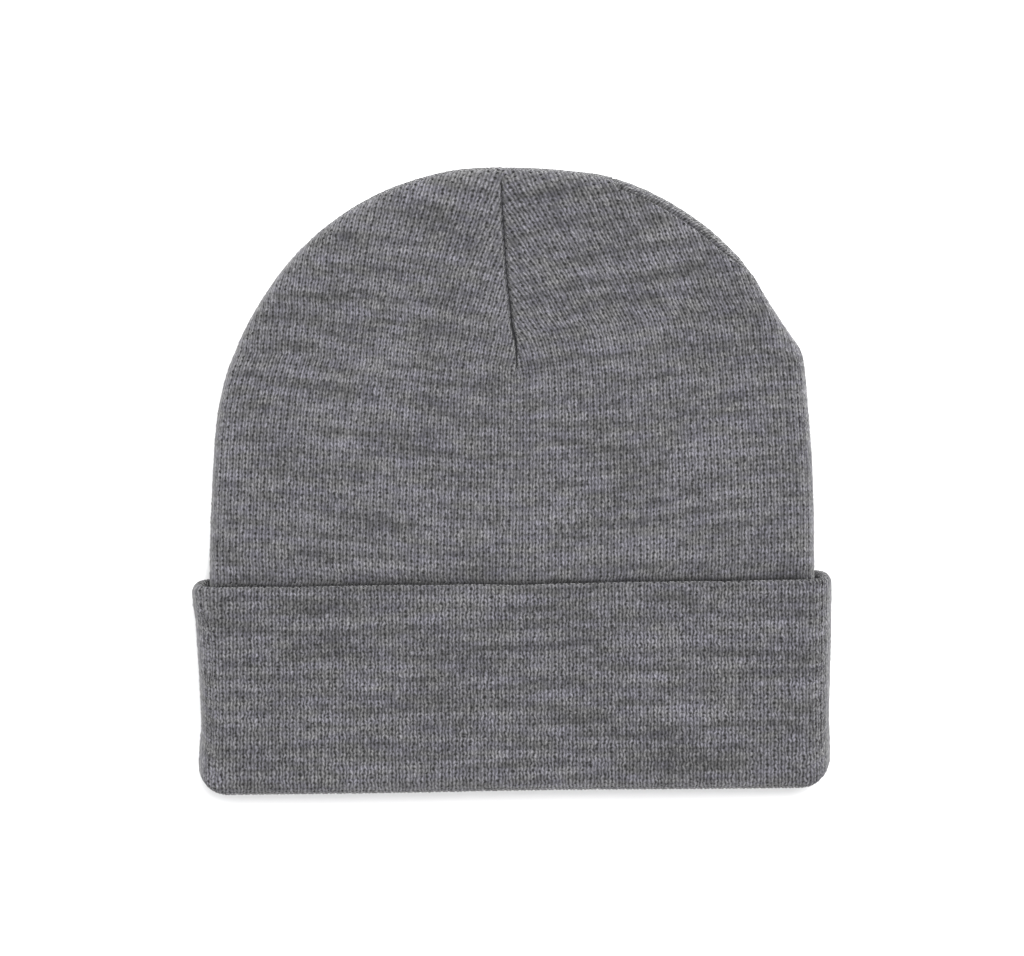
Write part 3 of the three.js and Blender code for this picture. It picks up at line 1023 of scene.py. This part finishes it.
def cuffLoop(out, share, up):
    shares, lefts, rights = zip(*cuff["edges"])
    left = np.interp(share, shares, lefts) + cuffOutside - out
    right = np.interp(share, shares, rights) - cuffOutside + out

    def layer(x, front):
        edgeGap = np.where(x > 0, right - x, x - left)
        rounded = foldRound(edgeGap, crown["foldReach"] + out)
        backShare = (1 - rounded) / 2 if front else (1 + rounded) / 2
        bottom = mouthHeight(x) + cornerRise(cuff["mouthCorner"], edgeGap)
        top = rimHeight(x, backShare) - cornerRise(cuff["rimCorner"], edgeGap)
        y = bottom + (top - bottom) * share + up
        half = (crown["halfHeight"] + out) * rounded
        swell = crown["swell"] * easeStep(edgeGap, 0, crown["swellReach"])
        z = cuffOutside + crown["halfHeight"] + (half + swell if front else -half)
        return np.stack([x, y, z, 1 - easeStep(edgeGap, *cuff["foldBand"])], axis=1)

    frontCount, backCount = 160, 320
    parts = [
        layer(crowded(0, right, frontCount), True),
        layer(crowded(right, left, backCount), False)[1:],
        layer(crowded(left, 0, frontCount), True)[1:],
    ]
    line = np.vstack(parts)
    along = arcLength(line[:, :3])
    alongParts = np.split(along, [frontCount, frontCount + backCount - 1])
    # where the loop turns into the side folds and out of them
    turns = [0, np.interp(cuff["flat"], parts[0][:, 0], alongParts[0])]
    turns += list(np.interp([-cuff["flat"], cuff["flat"]], -parts[1][:, 0], alongParts[1]))
    turns += [np.interp(-cuff["flat"], parts[2][:, 0], alongParts[2]), along[-1]]
    return line, along, turns


evenTurns = cuffLoop(cuffOutside, 0.5, 0)[2]


def cuffRing(out, share, up):
    # a wale has the same place across the hat on every loop
    line, along, turns = cuffLoop(out, share, up)
    count = cuff["wales"] * cuff["columnsPerWale"]
    return pick(line, along, np.interp(evenTurns[-1] * np.arange(count) / count, evenTurns, turns))


def cuffSection():
    # (out, share, up, course, relief) all round the cuff's section
    section = []
    half = cuff["course"] / 2
    foldMiddle = (cuffOutside - crown["thickness"]) / 2
    steps = round(math.pi * foldRadius / half)
    for i in range(steps + 1):
        angle = math.pi * i / steps
        out = foldMiddle - foldRadius * math.cos(angle)
        up = foldRadius * (1 - math.sin(angle))
        shown = cuff["foldShown"] + (1 - cuff["foldShown"]) * float(easeStep(angle, *cuff["foldTurn"]))
        section.append((out, 0, up, 0.5 * (i - steps), shown))
    faceLength = rim["front"][0] - cuff["mouthLine"] - foldRadius - rimRadius
    faceSteps = round(faceLength / half)
    for i in range(1, faceSteps):
        share = i / faceSteps
        up = foldRadius + (-rimRadius - foldRadius) * share
        section.append((cuffOutside, share, up, 0.5 * i, 1))
    rimSteps = round(math.pi * rimRadius / half)
    for i in range(rimSteps + 1):
        angle = math.pi * i / rimSteps
        out = cuff["gap"] + rimRadius + rimRadius * math.cos(angle)
        up = rimRadius * (math.sin(angle) - 1)
        shown = 1 - i / rimSteps
        section.append((out, 1, up, 0.5 * (faceSteps + i), shown))
    lastCourse = 0.5 * (faceSteps + rimSteps)
    hiddenUp = cuff["hiddenUp"]
    inside, innermost = cuff["hiddenCourses"]
    for share in cuff["hiddenShares"]:
        up = hiddenUp + (-rimRadius - hiddenUp) * share
        section.append((cuff["gap"], share, up, lastCourse + (1 - share) * inside, 0))
    section.append((cuff["gap"], 0, hiddenUp, lastCourse + inside, 0))
    section.append((-crown["thickness"], 0, hiddenUp, lastCourse + innermost, 0))
    return section


section = cuffSection()
count = cuff["wales"] * cuff["columnsPerWale"]
rings = np.stack([cuffRing(out, share, up) for out, share, up, course, shown in section])
rowsTotal = len(section)
index = np.arange(rowsTotal * count).reshape(rowsTotal, count)
nextRow = np.roll(index, -1, axis=0)
quads = np.stack([index, np.roll(index, -1, 1), np.roll(nextRow, -1, 1), nextRow], axis=-1)
quads = quads.reshape(-1, 4)
uAt = np.arange(count + 1) / cuff["columnsPerWale"]
vAt = np.array([row[3] for row in section] + [section[-1][3] + 1])
uGrid = np.stack([uAt[:-1], uAt[1:], uAt[1:], uAt[:-1]], axis=-1)
vGrid = np.stack([vAt[:-1], vAt[:-1], vAt[1:], vAt[1:]], axis=-1)
cuffUvs = np.empty((rowsTotal, count, 4, 2))
cuffUvs[..., 0] = uGrid[None]
cuffUvs[..., 1] = vGrid[:, None]
flat = rings[..., :3].reshape(-1, 3)
cuffFaces = quads.tolist()
outward = pointNormals(flat, cuffFaces)
shown = np.array([row[4] for row in section])[:, None]
fold = rings[..., 3] * shown
relief = stitchRelief(uAt[None, :-1], vAt[:-1, None]) * shown * (1 - cuff["foldFlat"] * fold)
relief = relief + crown["noise"] * shown * uneven.standard_normal(relief.shape)
flat = flat + outward * relief.reshape(-1, 1)
# painted shade: the cuff is drawn darker where less of its relief shows, on the mouth fold, where the rim
# turns in, and inside
cuffShade = np.repeat(cuff["hiddenShade"] * (1 - shown), count, axis=1).ravel()
layers = {"paintedShade": cuffShade, "fold": fold.ravel()}
cuffPiece = makePiece("cuff_band", flat, cuffFaces, cuffUvs, layers, cuffKnit, "cuff")

# a linked strand lies in the ditch of each dart
strand = {
    "radius": 0.2,
    "swell": {"front": 1.2, "back": 0, "right": 0, "left": 0},  # towards the dart's lower end
    "rise": {"front": 0.02, "back": 0.02, "right": -0.3, "left": 0.02},
    "swellPlace": (49, 9),
    "start": 0.3,  # it starts where the seam has this share of its depth
    "clear": 4.5,  # and ends this far below the top
    "taper": (0.3, 1.5),
    "link": 1.6,
    "knots": 0.22,
    "swing": 0.14,
    "sides": 8,
    "step": 0.4,
}
# the strand is the same yarn, drawn near black and without sheen: painted shade of the ditch it lies in
shadedSeamLook = {**bodyLook, "dark": (0.012, 0.012, 0.013), "light": (0.03, 0.03, 0.031), "sheen": 0.0}
shadedSeamKnit = knitFinish("seam_knit_painted_shade", shadedSeamLook)


def evened(line):
    for _ in range(3):
        line = np.vstack([line[:1], (line[:-2] + 2 * line[1:-1] + line[2:]) / 4, line[-1:]])
    return line


def strandPiece(seam, node):
    chain = [places[i] for i in seamIndex[seam]]
    out = [normals[i] for i in seamIndex[seam]]
    end = topPoint[1] - strand["clear"]
    keep = [k for k, p in enumerate(chain) if dartStrength(seam, p[1]) > strand["start"] and p[1] < end]
    path = evened(np.array([chain[k] + out[k] * strand["rise"][seam] for k in keep]))
    lifts = evened(np.array([out[k] for k in keep]))
    along = arcLength(path)
    total = along[-1]
    steps = int(total / strand["step"])
    at = np.linspace(0, total, steps + 1)
    centre = pick(path, along, at)
    lift = pick(lifts, along, at)
    run = np.gradient(centre, axis=0)
    run = run / np.linalg.norm(run, axis=1, keepdims=True)
    beside = np.cross(run, lift)
    beside = beside / np.linalg.norm(beside, axis=1, keepdims=True)
    sides = strand["sides"]
    turn = 2 * np.pi * np.arange(sides) / sides
    swing = np.sin(2 * np.pi * at / strand["link"])
    radius = strand["radius"] * (1 + strand["knots"] * np.abs(np.sin(np.pi * at / strand["link"])))
    tip, taper = strand["taper"]
    radius = radius * np.minimum(1, np.minimum(at + tip, total - at + tip) / taper)
    radius = radius * (1 + strand["swell"][seam] * about(centre[:, 1], strand["swellPlace"]))
    centre = centre + beside * (strand["swing"] * swing)[:, None]
    around = np.cos(turn)[None, :, None] * beside[:, None] + np.sin(turn)[None, :, None] * lift[:, None]
    tube = centre[:, None] + around * radius[:, None, None]
    verts = np.vstack([tube.reshape(-1, 3), centre[:1], centre[-1:]])
    loops, uvs = [], []
    for r in range(steps):
        for c in range(sides):
            a, b = r * sides + c, r * sides + (c + 1) % sides
            loops.append([b, a, a + sides, b + sides])
            low, high = at[r] / crown["course"], at[r + 1] / crown["course"]
            uvs += [((c + 1) / 4, low), (c / 4, low), (c / 4, high), ((c + 1) / 4, high)]
    last, lastCourse = steps * sides, 9
    for c in range(sides):
        loops.append([c, (c + 1) % sides, last + sides])
        uvs += [(c / 4, 0), ((c + 1) / 4, 0), ((c + 0.5) / 4, -0.5)]
        loops.append([last + (c + 1) % sides, last + c, len(verts) - 1])
        uvs += [((c + 1) / 4, lastCourse), (c / 4, lastCourse), ((c + 0.5) / 4, lastCourse + 0.5)]
    layers = {"paintedShade": np.zeros(len(verts)), "fold": np.zeros(len(verts))}
    return makePiece(seam + "_seam_strand", verts, loops, uvs, layers, shadedSeamKnit, node)


for seam in ("front", "back", "right", "left"):
    strandPiece(seam, seam + "_dart_seam")

studio = {
    "floor": (0.88, 0.88, 0.885),
    "world": 0.535,
    "lamps": [
        {"name": "overhead", "place": (0.2, 0.5, 1.8), "size": 1.15, "power": 66},
        {"name": "fill", "place": (-0.3, -0.9, 1.5), "size": 1.2, "power": 14},
    ],
}
floorMesh = bpy.data.meshes.new("floor")
floorMesh.from_pydata([(-4, -4, 0), (4, -4, 0), (4, 4, 0), (-4, 4, 0)], [], [[0, 1, 2, 3]])
floor = bpy.data.objects.new("floor", floorMesh)
bpy.context.scene.collection.objects.link(floor)
paper = bpy.data.materials.new("paper")
paper.use_nodes = True
paper.node_tree.nodes["Principled BSDF"].inputs["Base Color"].default_value = (*studio["floor"], 1)
paper.node_tree.nodes["Principled BSDF"].inputs["Roughness"].default_value = 0.9
floorMesh.materials.append(paper)
world = bpy.data.worlds.new("world")
world.use_nodes = True
world.node_tree.nodes["Background"].inputs["Color"].default_value = (1, 1, 1, 1)
world.node_tree.nodes["Background"].inputs["Strength"].default_value = studio["world"]
bpy.context.scene.world = world
for lamp in studio["lamps"]:
    data = bpy.data.lights.new(lamp["name"], "AREA")
    data.energy = lamp["power"]
    data.size = lamp["size"]
    light = bpy.data.objects.new(lamp["name"], data)
    light.location = lamp["place"]
    toHat = -np.array(lamp["place"])
    light.rotation_euler = (
        math.atan2(math.hypot(toHat[0], toHat[1]), -toHat[2]),
        0,
        math.atan2(-toHat[0], toHat[1]),
    )
    bpy.context.scene.collection.objects.link(light)
print("floor and lights set")
